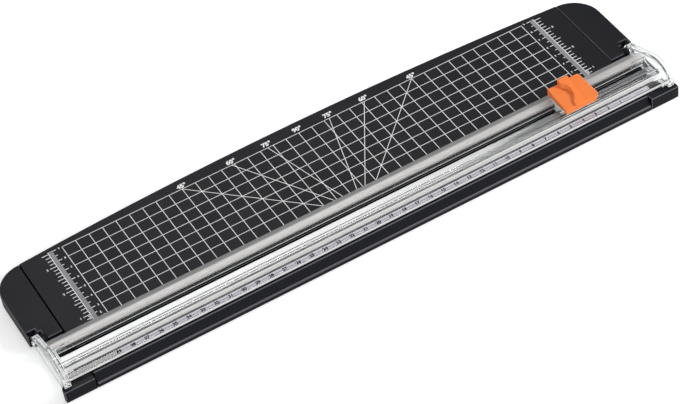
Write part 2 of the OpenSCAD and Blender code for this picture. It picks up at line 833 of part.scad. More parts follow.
// Carriage: deck on the platforms, hooked legs, cross walls, holder guides and spring stubs
module carriage() {
    half = carriage_length / 2;
    color(milky_plastic) on_carriage() difference() {
        union() {
            block([-half, -deck_front, deck_low], [half, deck_rear, deck_top]);
            drawn_along_x(-half, half) leg_section();
            both_ends() block([well_half, leg_front, hook_low], [well_half + guide_wall, leg_rear, deck_low]);
            both_ends() block([half - guide_wall, leg_front, hook_low], [half, leg_rear, deck_low]);
            for (y = [pocket_front - guide_wall, pocket_rear])
                block([-throat_half, y, deck_low], [throat_half, y + guide_wall, guide_top]);
            for (x = [-spring_offset, spring_offset])
                translate([x, slot_middle, deck_low]) cylinder(r = stub_radius, h = deck_thickness + stub_height);
        }
        block([-throat_half, pocket_front, deck_low - overrun], [throat_half, pocket_rear, deck_top + overrun]);
    }
}

// Springs on the carriage's deck, under the seats in the press cap
module left_press_spring() {
    color(steel) on_carriage() translate([-spring_offset, slot_middle, deck_top]) wound_spring(spring_length);
}

module right_press_spring() {
    color(steel) on_carriage() translate([spring_offset, slot_middle, deck_top]) wound_spring(spring_length);
}

// Side section of a sloping top between the front and the back of the press cap
module slope_section(front_height, back_height, inset) {
    polygon([
        [-press_front + inset, 0],
        [press_rear - inset, 0],
        [press_rear - inset, back_height - inset],
        [-press_front + inset, front_height - inset]
    ]);
}

// Plan of the press cap with its rounded corners, drawn in by inset
module press_plan(inset) {
    low = [-press_half + inset, -press_front + inset];
    high = [press_half - inset, press_rear - inset];
    corner = cap_corner - inset;
    union() {
        translate(low) square([high[0] - low[0] - corner, high[1] - low[1]]);
        translate([low[0], low[1] + corner]) square([high[0] - low[0], high[1] - low[1] - 2 * corner]);
        for (y = [low[1] + corner, high[1] - corner]) translate([high[0] - corner, y]) circle(r = corner);
    }
}

// Solid form of the press cap: thumb rest, crest and right flank, with the scoop cut out, drawn in by inset
module press_form(inset) {
    right_edge = press_half - inset;
    flare_shift = inset * norm(flare_run) / flare_run[1];
    intersection() {
        linear_extrude(height = crest_height + overrun) press_plan(inset);
        union() {
            drawn_along_x(-press_half + inset, right_edge)
                slope_section(rest_front_height, rest_back_height, inset);
            difference() {
                drawn_along_x(crest_start + inset, crest_end - inset)
                    slope_section(crest_front_height, crest_height, inset);
                press_scoop(inset);
            }
            difference() {
                drawn_along_x(crest_end - inset - overrun, right_edge)
                    slope_section(right_front_height, right_back_height, inset);
                press_scoop(inset);
            }
        }
        rotate([90, 0, 0]) translate([0, 0, -press_rear - overrun])
            linear_extrude(height = press_depth + 2 * overrun) polygon([
                [-press_half - overrun, -overrun],
                [flare_low[0] - flare_shift, -overrun],
                [flare_low[0] - flare_shift, flare_low[1]],
                [flare_top[0] - flare_shift, flare_top[1]],
                [-press_half - overrun, flare_top[1]]
            ]);
    }
}

// Upright cone that hollows the finger scoop beside the crest
module press_scoop(inset) {
    rise = crest_height - rest_front_height;
    translate([scoop_x, scoop_y, rest_front_height - inset])
        cylinder(r1 = scoop_radius + inset, r2 = scoop_radius + inset + rise * scoop_lean, h = rise + overrun, $fn = 96);
}

// Press cap: hollow form with spring seats, a clamp for the blade holder and raised side rims
module press_cap() {
    color(orange_plastic) on_carriage() difference() {
        union() {
            difference() {
                press_form(0);
                press_form(press_wall);
            }
            intersection() {
                press_form(press_wall / 2);
                union() {
                    for (x = [-spring_offset, spring_offset])
                        translate([x, slot_middle, roof_seat]) cylinder(r = seat_post_radius, h = crest_height);
                    block([-holder_half, holder_front, roof_seat], [holder_half, holder_rear, crest_height]);
                }
            }
        }
        block([-press_half - overrun, -press_front - overrun, -overrun],
            [press_half + overrun, press_rear + overrun, press_rim]);
        block([-press_half - overrun, -press_front + press_wall, -overrun],
            [press_half + overrun, press_rear - press_wall, side_rim]);
    }
}

// Slab that carries the blade, with ears that stop under the deck
module blade_holder() {
    ear_top = deck_low - run_gap;
    low = point_rest + press_travel + run_gap;
    color(milky_plastic) on_carriage() difference() {
        union() {
            block([-holder_half, holder_front, low], [holder_half, holder_rear, roof_seat]);
            block([-holder_half - ear_reach, holder_front, ear_top - ear_height],
                [holder_half + ear_reach, holder_rear, ear_top]);
        }
        translate([0, holder_rear + overrun, blade_pin_z]) rotate([90, 0, 0])
            cylinder(d = blade_pin_diameter + 2 * seat_fit, h = holder_rear - holder_front + 2 * overrun);
    }
}

// Blade in the plane of the cut, pointed downwards, with a hole for its pin
module blade() {
    half = blade_length / 2;
    color(steel) on_carriage() translate([0, holder_front, 0]) rotate([90, 0, 0])
        linear_extrude(height = blade_thickness) difference() {
            polygon([
                [-half, blade_top],
                [half, blade_top],
                [half, blade_cheek],
                [0, point_rest],
                [-half, blade_cheek]
            ]);
            translate([0, blade_pin_z]) circle(d = blade_pin_diameter + 2 * seat_fit);
        }
}

// Pin through the blade and its holder, with a thin head over the blade
module blade_pin() {
    head_radius = blade_pin_diameter * 0.8;
    color(steel) on_carriage() translate([0, holder_rear, blade_pin_z]) rotate([90, 0, 0]) {
        cylinder(d = blade_pin_diameter, h = holder_rear - holder_front + blade_thickness);
        translate([0, 0, holder_rear - holder_front + blade_thickness]) cylinder(r = head_radius, h = blade_pin_head);
    }
}

bed_tray();
left_end_moulding();
right_end_moulding();
end_screws();
cutting_strip();
rubber_feet();
left_pivot_pin();
right_pivot_pin();
guide_rail();
left_rail_cap();
right_rail_cap();
cap_screws();
scale_strip();
front_grip_strip();
rear_grip_strip();
carriage();
left_press_spring();
right_press_spring();
press_cap();
blade_holder();
blade();
blade_pin();
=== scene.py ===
"""Looks of the rail trimmer: printed bed, clear guide rail with its ruler, carriage and orange thumb cap.

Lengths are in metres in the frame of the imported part: +X along the cut, +Y to the back, +Z up.
"""

from __future__ import annotations

import logging
import math
from dataclasses import dataclass, field
from enum import Enum, IntEnum

import bmesh
import bpy
from mathutils import Matrix, Vector

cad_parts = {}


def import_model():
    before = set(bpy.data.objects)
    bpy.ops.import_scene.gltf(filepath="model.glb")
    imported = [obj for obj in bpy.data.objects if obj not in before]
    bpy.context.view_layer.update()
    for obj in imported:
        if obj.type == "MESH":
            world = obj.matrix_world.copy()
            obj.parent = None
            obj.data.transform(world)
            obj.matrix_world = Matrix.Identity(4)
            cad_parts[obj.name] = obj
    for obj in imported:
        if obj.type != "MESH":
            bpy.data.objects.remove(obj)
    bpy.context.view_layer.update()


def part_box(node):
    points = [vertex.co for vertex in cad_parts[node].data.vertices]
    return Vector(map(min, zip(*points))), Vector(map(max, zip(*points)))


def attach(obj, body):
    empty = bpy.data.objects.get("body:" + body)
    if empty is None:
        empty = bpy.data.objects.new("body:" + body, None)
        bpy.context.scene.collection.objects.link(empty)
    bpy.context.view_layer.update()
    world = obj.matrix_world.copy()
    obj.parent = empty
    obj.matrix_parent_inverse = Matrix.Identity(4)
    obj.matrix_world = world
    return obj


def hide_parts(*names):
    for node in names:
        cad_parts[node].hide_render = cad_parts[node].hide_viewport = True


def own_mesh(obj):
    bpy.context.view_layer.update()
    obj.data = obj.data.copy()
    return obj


LOG = logging.getLogger("rail_trimmer")
MM = 0.001
CM = 0.01
INCH = 0.0254

# Angles between faces past which an edge is rounded, is shaded as sharp, or counts as an edge at all
SHARP_ANGLE = math.radians(32)
SMOOTH_ANGLE = math.radians(50)
FLAT_ANGLE = math.radians(0.6)

# Distances within which points are merged: in a CAD mesh, after rounding, and in a print
CAD_WELD = 2e-6
EDGE_WELD = 1e-6
INK_WELD = 1e-7

# Room that a rounding needs beside it, in radii
SMOOTH_ROOM = 1.5
FLAT_ROOM = 2.5

# Parts of a normal past which a face looks along an axis, or leans towards it
UPRIGHT = 0.9
LEANING = 0.3

NOISE_ROUGHNESS = 0.6
CLEAR_REFRACTION = 1.49
DIGIT_SHARE = 0.7

Colour = tuple[float, float, float]
Stretch = tuple[float, float, float]


def linear(code: str) -> Colour:
    """Turns a written colour into the linear one that shaders take.

    Args:
        code: six hexadecimal digits after a hash sign.

    Returns:
        Red, green and blue as linear values.
    """
    parts = [int(code[i:i + 2], 16) / 255 for i in (1, 3, 5)]
    return tuple(p / 12.92 if p <= 0.04045 else ((p + 0.055) / 1.055) ** 2.4 for p in parts)


class Value:
    """A number that a shader socket gives, with Python's arithmetic on it."""

    def __init__(self, graph: Graph, socket: bpy.types.NodeSocket) -> None:
        """Keeps the socket and the graph that it belongs to."""
        self.graph = graph
        self.socket = socket

    def __add__(self, other: Value | float) -> Value:
        """Adds."""
        return self.graph.maths("ADD", self, other)

    def __radd__(self, other: float) -> Value:
        """Adds, reflected."""
        return self.graph.maths("ADD", other, self)

    def __sub__(self, other: Value | float) -> Value:
        """Subtracts."""
        return self.graph.maths("SUBTRACT", self, other)

    def __rsub__(self, other: float) -> Value:
        """Subtracts, reflected."""
        return self.graph.maths("SUBTRACT", other, self)

    def __mul__(self, other: Value | float) -> Value:
        """Multiplies."""
        return self.graph.maths("MULTIPLY", self, other)

    def __rmul__(self, other: float) -> Value:
        """Multiplies, reflected."""
        return self.graph.maths("MULTIPLY", other, self)

    def __truediv__(self, other: Value | float) -> Value:
        """Divides."""
        return self.graph.maths("DIVIDE", self, other)

    def __rtruediv__(self, other: float) -> Value:
        """Divides, reflected."""
        return self.graph.maths("DIVIDE", other, self)


class Graph:
    """The node tree of one material or of the world, with one method that adds any node."""

    def __init__(self, owner: bpy.types.Material | bpy.types.World) -> None:
        """Empties the owner's tree.

        Args:
            owner: the material or world whose nodes are made.
        """
        owner.use_nodes = True
        self.tree = owner.node_tree
        self.tree.nodes.clear()

    def node(self, kind: str, settings: dict | None = None, sockets: dict | None = None) -> bpy.types.Node:
        """Adds a node.

        Args:
            kind: the node's type.
            settings: its properties, set first; stops are those of a colour ramp.
            sockets: values or links of its inputs, by name or number.

        Returns:
            The new node.
        """
        node = self.tree.nodes.new(kind)
        for name, setting in (settings or {}).items():
            if name == "stops":
                self._set_stops(node.color_ramp, setting)
            else:
                setattr(node, name, setting)
        for name, value in (sockets or {}).items():
            if isinstance(value, Value):
                self.tree.links.new(value.socket, node.inputs[name])
            elif isinstance(value, bpy.types.NodeSocket):
                self.tree.links.new(value, node.inputs[name])
            else:
                node.inputs[name].default_value = value
        return node

    def _set_stops(self, ramp: bpy.types.ColorRamp, stops: list[tuple[float, float]]) -> None:
        """Gives a ramp its grey stops, each a place and a level."""
        while len(ramp.elements) < len(stops):
            ramp.elements.new(0.5)
        for element, (place, level) in zip(ramp.elements, stops):
            element.position = place
            element.color = (level, level, level, 1)

    def maths(self, operation: str, *terms: Value | float) -> Value:
        """Adds a Math node.

        Args:
            operation: the node's operation.
            terms: its inputs in order.

        Returns:
            Its result.
        """
        node = self.node("ShaderNodeMath", {"operation": operation}, dict(enumerate(terms)))
        return Value(self, node.outputs[0])

    def place(self, stretch: Stretch = (1, 1, 1)) -> bpy.types.NodeSocket:
        """Gives object coordinates, stretched along the axes.

        Args:
            stretch: factor on each axis.

        Returns:
            The vector's socket.
        """
        coordinates = self.node("ShaderNodeTexCoord")
        mapping = self.node("ShaderNodeMapping", None,
                            {"Vector": coordinates.outputs["Object"], "Scale": stretch})
        return mapping.outputs["Vector"]

    def noise(self, size: float, detail: float = 3, stretch: Stretch = (1, 1, 1)) -> Value:
        """Adds noise with grains of a real size.

        Args:
            size: size of a grain in metres.
            detail: finer layers in the noise.
            stretch: factor on each axis before the noise.

        Returns:
            The noise's level, from 0 to 1.
        """
        node = self.node("ShaderNodeTexNoise", None, {
            "Vector": self.place(stretch),
            "Scale": 1 / size,
            "Detail": detail,
            "Roughness": NOISE_ROUGHNESS,
        })
        return Value(self, node.outputs["Fac"])

    def ramp(self, level: Value, stops: list[tuple[float, float]]) -> Value:
        """Reshapes a level through grey stops.

        Args:
            level: what the ramp reads.
            stops: places and levels.

        Returns:
            The ramp's level.
        """
        node = self.node("ShaderNodeValToRGB", {"stops": stops}, {"Fac": level})
        return Value(self, node.outputs["Color"])

    def fade(self, level: Value, start: float, end: float) -> Value:
        """Falls smoothly from 1 to 0 while a level goes from start to end.

        Args:
            level: what is followed.
            start: level where the fall begins.
            end: level where it ends.

        Returns:
            The faded level.
        """
        sockets = {"Value": level, "From Min": start, "From Max": end, "To Min": 1.0, "To Max": 0.0}
        node = self.node("ShaderNodeMapRange", {"interpolation_type": "SMOOTHSTEP"}, sockets)
        return Value(self, node.outputs[0])

    def blend(self, share: Value, first: Colour, second: Colour) -> bpy.types.NodeSocket:
        """Mixes two colours.

        Args:
            share: how much of the second colour shows.
            first: colour where the share is 0.
            second: colour where the share is 1.

        Returns:
            The mixed colour's socket.
        """
        sockets = {0: share, 6: (*first, 1), 7: (*second, 1)}
        return self.node("ShaderNodeMix", {"data_type": "RGBA"}, sockets).outputs[2]

    def bump(self, height: Value, depth: float) -> bpy.types.NodeSocket:
        """Turns a height into a bump on the surface.

        Args:
            height: level from 0 to 1.
            depth: height in metres of a full step.

        Returns:
            The normal's socket.
        """
        sockets = {"Height": height, "Distance": depth, "Strength": 1.0}
        return self.node("ShaderNodeBump", None, sockets).outputs["Normal"]

    def surface(self, sockets: dict) -> None:
        """Ends the tree in one Principled shader with these inputs."""
        shader = self.node("ShaderNodeBsdfPrincipled", None, sockets)
        self.node("ShaderNodeOutputMaterial", None, {"Surface": shader.outputs[0]})


def shade(colour: Colour, factor: float) -> Colour:
    """Makes a colour lighter or darker by a factor."""
    return tuple(min(1.0, part * factor) for part in colour)


@dataclass(frozen=True)
class Finish:
    """A finish with a name and a base colour; each kind dresses the shader in its own way."""

    name: str
    colour: Colour
    roughness: float

    def material(self) -> bpy.types.Material:
        """Makes the finish's material once and gives it again afterwards.

        Returns:
            The material.
        """
        title = f"{self.name}_finish"
        found = bpy.data.materials.get(title)
        if found is None:
            found = bpy.data.materials.new(title)
            self.dress(Graph(found))
        return found

    def dress(self, graph: Graph) -> None:
        """Builds the shader; each kind of finish has its own."""
        raise NotImplementedError


@dataclass(frozen=True)
class MouldedPlastic(Finish):
    """Opaque moulded plastic: fine spark-eroded grain, faint flow tone and handling polish."""

    grain: float = 0.35 * MM
    grain_depth: float = 0.012 * MM
    tone: float = 0.12
    specular: float = 0.5

    def dress(self, graph: Graph) -> None:
        """Builds grain, tone and polish."""
        flow = graph.noise(45 * MM, 2, (0.5, 1, 1))
        grain = graph.noise(self.grain, 4)
        polish = graph.ramp(graph.noise(28 * MM, 4), [(0.35, 0.0), (0.7, 1.0)])
        share = graph.maths("MINIMUM", flow * 0.8 + grain * 0.2, 1)
        graph.surface({
            "Base Color": graph.blend(share, shade(self.colour, 1 - self.tone),
                                      shade(self.colour, 1 + self.tone)),
            "Roughness": self.roughness - polish * 0.06 + grain * 0.05,
            "Specular IOR Level": self.specular,
            "Normal": graph.bump(grain, self.grain_depth),
        })


@dataclass(frozen=True)
class ClearPlastic(Finish):
    """Clear moulded plastic that light passes through, with faint flow waves and hair scratches.

    A sheened face has a painted sheen: a strong reflecting coat that fades out in streaks towards the rail's
    right end, where the reflected light falls off.
    """

    clear_share: float = 0.98
    wave_depth: float = 0.0002 * MM
    # strength of the painted sheen, and where along the rail and how raggedly it fades out
    sheen: float = 0.0
    sheen_roughness: float = 0.3
    sheen_refraction: float = 3.0
    sheen_end: tuple[float, float] = (0.075, 0.13)
    sheen_fray: float = 0.3

    def dress(self, graph: Graph) -> None:
        """Builds waves and scratches, and lets the lamps' light through to what lies below."""
        wave = graph.noise(16 * MM, 2, (0.35, 1, 1))
        streaks = graph.noise(1.3 * MM, 3, (0.01, 1, 1))
        parts = graph.node("ShaderNodeSeparateXYZ", None, {0: graph.place()})
        # place along the rail, frayed by streaks, at which the painted sheen fades
        sheen_fade_x = Value(graph, parts.outputs["X"]) + (streaks - 0.5) * self.sheen_fray
        scratches = graph.ramp(graph.noise(0.9 * MM, 5, (0.05, 1, 1)), [(0.6, 0.0), (0.8, 1.0)])
        shader = graph.node("ShaderNodeBsdfPrincipled", None, {
            "Base Color": graph.blend(wave, shade(self.colour, 0.97), self.colour),
            "Roughness": self.roughness + scratches * 0.02,
            "IOR": CLEAR_REFRACTION,
            "Transmission Weight": self.clear_share,
            "Normal": graph.bump(wave, self.wave_depth),
            "Coat Weight": self.sheen * graph.fade(sheen_fade_x, *self.sheen_end),
            "Coat Roughness": self.sheen_roughness,
            "Coat IOR": self.sheen_refraction,
        })
        clear = graph.node("ShaderNodeBsdfTransparent", None, {"Color": (*shade(self.colour, 0.92), 1)})
        path = graph.node("ShaderNodeLightPath")
        mixed = graph.node("ShaderNodeMixShader", None,
                           {0: path.outputs["Is Shadow Ray"], 1: shader.outputs[0], 2: clear.outputs[0]})
        graph.node("ShaderNodeOutputMaterial", None, {"Surface": mixed.outputs[0]})


@dataclass(frozen=True)
class FrostedPlastic(Finish):
    """Etched skin of a clear plastic, which looks pale where light falls on it."""

    clear_share: float = 0.25

    def dress(self, graph: Graph) -> None:
        """Builds the etching and streaks from the mould."""
        etching = graph.noise(0.3 * MM, 4)
        streaks = graph.noise(1.6 * MM, 3, (0.02, 1, 1))
        graph.surface({
            "Base Color": graph.blend(streaks, shade(self.colour, 0.88), self.colour),
            "Roughness": self.roughness + etching * 0.1,
            "IOR": CLEAR_REFRACTION,
            "Transmission Weight": self.clear_share,
            "Normal": graph.bump(etching, 0.004 * MM),
        })


@dataclass(frozen=True)
class MilkyPlastic(Finish):
    """Translucent milky plastic with a satin skin."""

    clear_share: float = 0.12
    refraction: float = 1.5

    def dress(self, graph: Graph) -> None:
        """Builds cloudy tone and a soft skin."""
        cloud = graph.noise(6 * MM, 4)
        grain = graph.noise(0.3 * MM, 3)
        graph.surface({
            "Base Color": graph.blend(cloud, shade(self.colour, 0.93), self.colour),
            "Roughness": self.roughness + grain * 0.08,
            "Transmission Weight": self.clear_share,
            "IOR": self.refraction,
            "Normal": graph.bump(grain, 0.006 * MM),
        })


@dataclass(frozen=True)
class Rubber(Finish):
    """Soft rubber with a matt skin and a little bloom."""

    bloom: float = 0.35
    specular: float = 0.3

    def dress(self, graph: Graph) -> None:
        """Builds bloom and pores."""
        cloud = graph.ramp(graph.noise(9 * MM, 5), [(0.4, 0.0), (0.75, 1.0)])
        pores = graph.noise(0.25 * MM, 4)
        graph.surface({
            "Base Color": graph.blend(cloud, self.colour, shade(self.colour, 1 + self.bloom)),
            "Roughness": self.roughness + pores * 0.1,
            "Specular IOR Level": self.specular,
            "Normal": graph.bump(pores, 0.015 * MM),
        })


class Drawn(Enum):
    """Way in which the fine lines of a metal run, as the stretch of its noise."""

    ALONG_X = (0.03, 1.0, 1.0)
    ALONG_Z = (1.0, 1.0, 0.03)
    ROUND = (1.0, 1.0, 1.0)


@dataclass(frozen=True)
class Steel(Finish):
    """Bare steel with fine lines from drawing, turning or grinding."""

    lines: Drawn = Drawn.ROUND

    def dress(self, graph: Graph) -> None:
        """Builds lines and slight tarnish."""
        lines = graph.noise(0.12 * MM, 3, self.lines.value)
        tarnish = graph.ramp(graph.noise(3 * MM, 4), [(0.45, 0.0), (0.8, 1.0)])
        graph.surface({
            "Base Color": graph.blend(tarnish, self.colour, shade(self.colour, 0.8)),
            "Metallic": 1.0,
            "Roughness": self.roughness + lines * 0.12 + tarnish * 0.1,
            "Normal": graph.bump(lines, 0.004 * MM),
        })


@dataclass(frozen=True)
class Film(Finish):
    """Silver grey film with very fine lines along it."""

    def dress(self, graph: Graph) -> None:
        """Builds the lines and a cloudy silver tone."""
        lines = graph.noise(0.1 * MM, 3, (0.02, 1, 1))
        cloud = graph.noise(12 * MM, 3)
        graph.surface({
            "Base Color": graph.blend(cloud, shade(self.colour, 0.92), shade(self.colour, 1.06)),
            "Roughness": self.roughness + lines * 0.12,
            "Normal": graph.bump(lines, 0.003 * MM),
        })


@dataclass(frozen=True)
class Ink(Finish):
    """Screen printed ink, a little uneven where the mesh of the screen left it thinner."""

    specular: float = 0.3

    def dress(self, graph: Graph) -> None:
        """Builds the thin spots and the ink's low relief."""
        mesh = graph.noise(0.22 * MM, 3)
        thin = graph.ramp(graph.noise(5 * MM, 5), [(0.42, 0.0), (0.8, 1.0)])
        graph.surface({
            "Base Color": graph.blend(thin * 0.7 + mesh * 0.3, self.colour, shade(self.colour, 0.78)),
            "Roughness": self.roughness + mesh * 0.1,
            "Specular IOR Level": self.specular,
            "Normal": graph.bump(mesh, 0.004 * MM),
        })


BED_PLASTIC = MouldedPlastic("bed_plastic", linear("#0e0f15"), 0.36, specular=0.14)
# Painted highlight: a lighter grey on the bed's rounded edges, where light would catch them
EDGE_HIGHLIGHT_PLASTIC = MouldedPlastic("edge_highlight_paint", linear("#47474c"), 0.32)
# Painted shade: near-black on rounded edges at the seams and on those that face right, away from the light
SEAM_SHADE_PLASTIC = MouldedPlastic("seam_shade_paint", linear("#060607"), 0.6, specular=0.0)
STRIP_RUBBER = Rubber("strip_rubber", linear("#08080a"), 0.7, specular=0.05)
FOOT_RUBBER = Rubber("foot_rubber", linear("#1e1e20"), 0.8)
PIN_STEEL = Steel("pin_steel", (0.62, 0.63, 0.65), 0.25, Drawn.ALONG_X)
SCREW_STEEL = Steel("screw_steel", (0.5, 0.51, 0.53), 0.32)
CLEAR_PLASTIC = ClearPlastic("clear_plastic", (0.95, 0.965, 0.97), 0.0)
# Painted highlight: white frosting on the rail's front walls, the slot's foot and the caps' rounded edges,
# where light shows bright
HIGHLIGHT_FROSTED_PLASTIC = FrostedPlastic("highlight_frosted_plastic", (0.93, 0.92, 0.91), 0.4)
ETCHED_PLASTIC = FrostedPlastic("etched_plastic", (0.62, 0.60, 0.585), 0.4)
HAZY_PLASTIC = FrostedPlastic("hazy_plastic", (0.97, 0.95, 0.94), 0.05, clear_share=0.6)
# Painted sheen: a strong reflecting coat on the front platform's top that fades to the right as the light
# does
PAINTED_SHEEN_PLASTIC = ClearPlastic("painted_sheen_plastic", (0.96, 0.965, 0.965), 0.0, sheen=1.0)
SCALE_FILM = Film("scale_film", linear("#bfbfc7"), 0.35)
GRIP_RUBBER = Rubber("grip_rubber", linear("#3a3a3c"), 0.75)
MILKY_PLASTIC = MilkyPlastic("milky_plastic", (0.9, 0.9, 0.89), 0.3)
ORANGE_PLASTIC = MouldedPlastic("orange_plastic", linear("#ea7930"), 0.36,
                                grain_depth=0.006 * MM, tone=0.05)
SPRING_STEEL = Steel("spring_steel", (0.6, 0.6, 0.62), 0.28)
BLADE_STEEL = Steel("blade_steel", (0.66, 0.67, 0.69), 0.2, Drawn.ALONG_Z)
WHITE_INK = Ink("white_ink", linear("#f2f2f2"), 0.55)
GREY_INK = Ink("grey_ink", linear("#8f9095"), 0.5)
BLACK_INK = Ink("black_ink", linear("#17171a"), 0.5)


@dataclass(frozen=True)
class Layout:
    """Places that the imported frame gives, which the prints and the rail's skins are set against."""

    cut_y: float
    print_z: float
    film_low: Vector
    film_high: Vector

    @classmethod
    def of_frame(cls) -> Layout:
        """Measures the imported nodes.

        Returns:
            The layout.
        """
        strip_low, strip_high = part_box("cutting_strip")
        film_low, film_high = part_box("scale_strip")
        return cls(
            cut_y=(strip_low.y + strip_high.y) / 2,
            print_z=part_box("bed_tray")[1].z,
            film_low=film_low,
            film_high=film_high,
        )

    def at(self, x: float, y: float, z: float) -> Vector:
        """Gives the place of a point that is measured from the cutting line on the printed face."""
        return Vector((x, self.cut_y + y, self.print_z + z))


def settle(bm: bmesh.types.BMesh, name: str, finish: Finish, body: str) -> bpy.types.Object:
    """Makes a finished piece of a bmesh, at the origin, riding on its body.

    Args:
        bm: the shape, which is freed.
        name: the piece's name.
        finish: its finish.
        body: the CAD body that carries it.

    Returns:
        The piece.
    """
    mesh = bpy.data.meshes.new(name)
    bm.to_mesh(mesh)
    bm.free()
    mesh.materials.append(finish.material())
    piece = bpy.data.objects.new(name, mesh)
    bpy.context.scene.collection.objects.link(piece)
    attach(piece, body)
    LOG.info("%s: %d faces on %s", name, len(mesh.polygons), body)
    return piece


def has_room(edge: bmesh.types.BMEdge, sharp: set[bmesh.types.BMEdge], room: float) -> bool:
    """Tells whether a sharp edge can be rounded without running into what is next to it.

    Args:
        edge: the sharp edge.
        sharp: all sharp edges.
        room: width that its faces, and length that the plain edges at its ends, have at least.

    Returns:
        True where it can be rounded.
    """
    beside = [other for vertex in edge.verts for other in vertex.link_edges if other not in sharp]
    if any(other.calc_length() < room for other in beside):
        return False
    return all(face.calc_area() > room * max(side.calc_length() for side in face.edges)
               for face in edge.link_faces)


def softened(node: str, finish: Finish, body: str, radius: float, segments: int = 2,
             flat: bool = False, edge: Finish | None = None) -> bpy.types.Object:
    """Makes a copy of a CAD node with its sharp edges rounded, which stands for the node.

    Args:
        node: the CAD node.
        finish: the copy's finish, whose name is the material slot's.
        body: the body that the node is on.
        radius: how far the rounding reaches from an edge.
        segments: faces across a rounding.
        flat: keeps every face flat, so that what shows through it stays crisp.
        edge: finish of the rounded edges, where it differs: a lighter one that paints a highlight on them.

    Returns:
        The piece.
    """
    bm = bmesh.new()
    bm.from_mesh(bpy.data.objects[node].data)
    bmesh.ops.remove_doubles(bm, verts=bm.verts, dist=CAD_WELD)
    bmesh.ops.dissolve_limit(bm, angle_limit=FLAT_ANGLE, verts=bm.verts, edges=bm.edges)
    room = (FLAT_ROOM if flat else SMOOTH_ROOM) * radius
    sharp = {side for side in bm.edges if side.is_manifold and side.calc_face_angle() > SHARP_ANGLE}
    roomy = [side for side in bm.edges if side in sharp and has_room(side, sharp, room)]
    rounded = bmesh.ops.bevel(bm, geom=roomy, offset=radius, offset_type="OFFSET", affect="EDGES",
                              segments=segments, profile=0.5, material=-1, clamp_overlap=False)
    # The rounded faces take the edge finish, which paints a highlight on them
    if edge:
        for face in rounded["faces"]:
            face.material_index = 1
    bmesh.ops.remove_doubles(bm, verts=bm.verts, dist=EDGE_WELD)
    bmesh.ops.dissolve_degenerate(bm, edges=bm.edges, dist=EDGE_WELD)
    piece = settle(bm, f"{node}_dressed", finish, body)
    if edge:
        piece.data.materials.append(edge.material())
    if not flat:
        piece.data.shade_smooth()
        piece.data.set_sharp_from_angle(angle=SMOOTH_ANGLE)
        even = piece.modifiers.new("flat_faces_stay_flat", "WEIGHTED_NORMAL")
        even.mode = "FACE_AREA"
        even.weight = 100
        even.keep_sharp = True
    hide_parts(node)
    return piece


def dress(node: str, finish: Finish) -> None:
    """Gives a CAD node, whose shape is right as it is, its finish."""
    mesh = bpy.data.objects[node].data
    mesh.materials.clear()
    mesh.materials.append(finish.material())
    LOG.info("%s: CAD node with %s", node, finish.name)


@dataclass
class Print:
    """Ink on a level surface: lines and figures, gathered into one piece."""

    layout: Layout
    z: float
    thickness: float = 0.04 * MM
    bm: bmesh.types.BMesh = field(default_factory=bmesh.new)

    def line(self, start: tuple[float, float], end: tuple[float, float], width: float) -> None:
        """Prints a straight line.

        Args:
            start: its first end, measured from the cutting line.
            end: its other end.
            width: its width.
        """
        first = self.layout.at(*start, self.z)
        run = self.layout.at(*end, self.z) - first
        turn = Matrix.Rotation(math.atan2(run.y, run.x), 4, "Z")
        size = Matrix.Diagonal((run.length, width, self.thickness, 1))
        bmesh.ops.create_cube(self.bm, size=1, matrix=Matrix.Translation(first + run / 2) @ turn @ size)

    def words(self, text: str, centre: tuple[float, float], height: float, weight: float,
              turn: float = 0.0) -> None:
        """Prints figures round a centre.

        Args:
            text: the figures.
            centre: their middle, measured from the cutting line.
            height: height of a figure.
            weight: how much bolder than plain the strokes are, as a share of the height.
            turn: angle in degrees, seen from above.
        """
        curve = bpy.data.curves.new("figures", "FONT")
        curve.body = text
        curve.size = height / DIGIT_SHARE
        curve.offset = weight * height
        curve.extrude = self.thickness / 2
        curve.resolution_u = 3
        holder = bpy.data.objects.new("figures", curve)
        mesh = bpy.data.meshes.new_from_object(holder)
        across = [vertex.co.x for vertex in mesh.vertices]
        up = [vertex.co.y for vertex in mesh.vertices]
        middle = Vector(((min(across) + max(across)) / 2, (min(up) + max(up)) / 2, 0))
        place = Matrix.Translation(self.layout.at(*centre, self.z))
        mesh.transform(place @ Matrix.Rotation(math.radians(turn), 4, "Z") @ Matrix.Translation(-middle))
        self.bm.from_mesh(mesh)
        bpy.data.objects.remove(holder)
        bpy.data.curves.remove(curve)
        bpy.data.meshes.remove(mesh)

    def dry(self, name: str, finish: Finish, body: str) -> None:
        """Ends the print as a piece of the object.

        Args:
            name: the piece's name.
            finish: the ink.
            body: the body that it is printed on.
        """
        bmesh.ops.remove_doubles(self.bm, verts=self.bm.verts, dist=INK_WELD)
        settle(self.bm, name, finish, body)


@dataclass(frozen=True)
class Scale:
    """One scale of the side rulers, whose places are distances from the middle of the bed.

    The ticks start at the bar and point outwards (1) or inwards (-1). Reaches are the lengths of a short
    and a long tick, and figures and unit_size are a place and a height.
    """

    bar: float
    outwards: int
    step: float
    ticks: range
    long_every: int
    number_every: int
    reaches: tuple[float, float]
    figures: tuple[float, float]
    unit: str
    unit_size: tuple[float, float]


CENTIMETRES = Scale(
    bar=18.70 * CM, outwards=-1, step=CM / 2, ticks=range(4, 19), long_every=2, number_every=2,
    reaches=(1.6 * MM, 2.6 * MM), figures=(18.23 * CM, 1.7 * MM),
    unit="cm", unit_size=(18.37 * CM, 1.3 * MM),
)
INCHES = Scale(
    bar=19.02 * CM, outwards=1, step=INCH / 8, ticks=range(6, 29), long_every=4, number_every=8,
    reaches=(3.6 * MM, 5.0 * MM), figures=(19.70 * CM, 1.9 * MM),
    unit="inch", unit_size=(19.16 * CM, 1.5 * MM),
)


